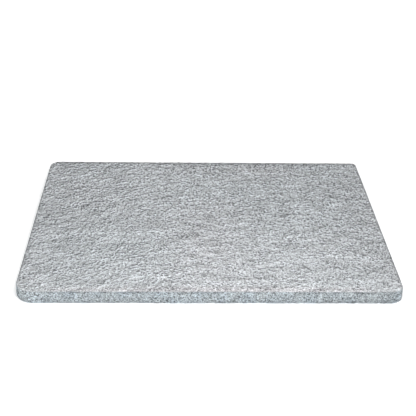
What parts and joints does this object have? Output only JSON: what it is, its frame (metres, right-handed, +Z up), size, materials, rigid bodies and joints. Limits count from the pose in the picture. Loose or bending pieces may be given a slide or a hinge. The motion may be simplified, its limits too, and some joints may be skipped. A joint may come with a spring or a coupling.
{
  "type": "ironing pad",
  "caption": "Flat rectangular slab of heathered grey wool felt with rounded corners, laid on a table as a heat-holding pad to press cloth on.",
  "frame": {"origin": "centre of the underside, on the surface the pad lies on", "axes": "+X along the width, -Y towards the front edge, +Z up out of the pressing surface"},
  "size_m": [0.432, 0.343, 0.016],
  "materials": {
    "felt_face": "heathered wool felt, matt and fibrous",
    "felt_core": "cut edge of wool felt, granular and slightly bluish"
  },
  "bodies": {
    "root": {"back_batt": "felt_face", "lower_core_batt": "felt_core", "upper_core_batt": "felt_core", "face_batt": "felt_face"}
  },
  "joints": []
}
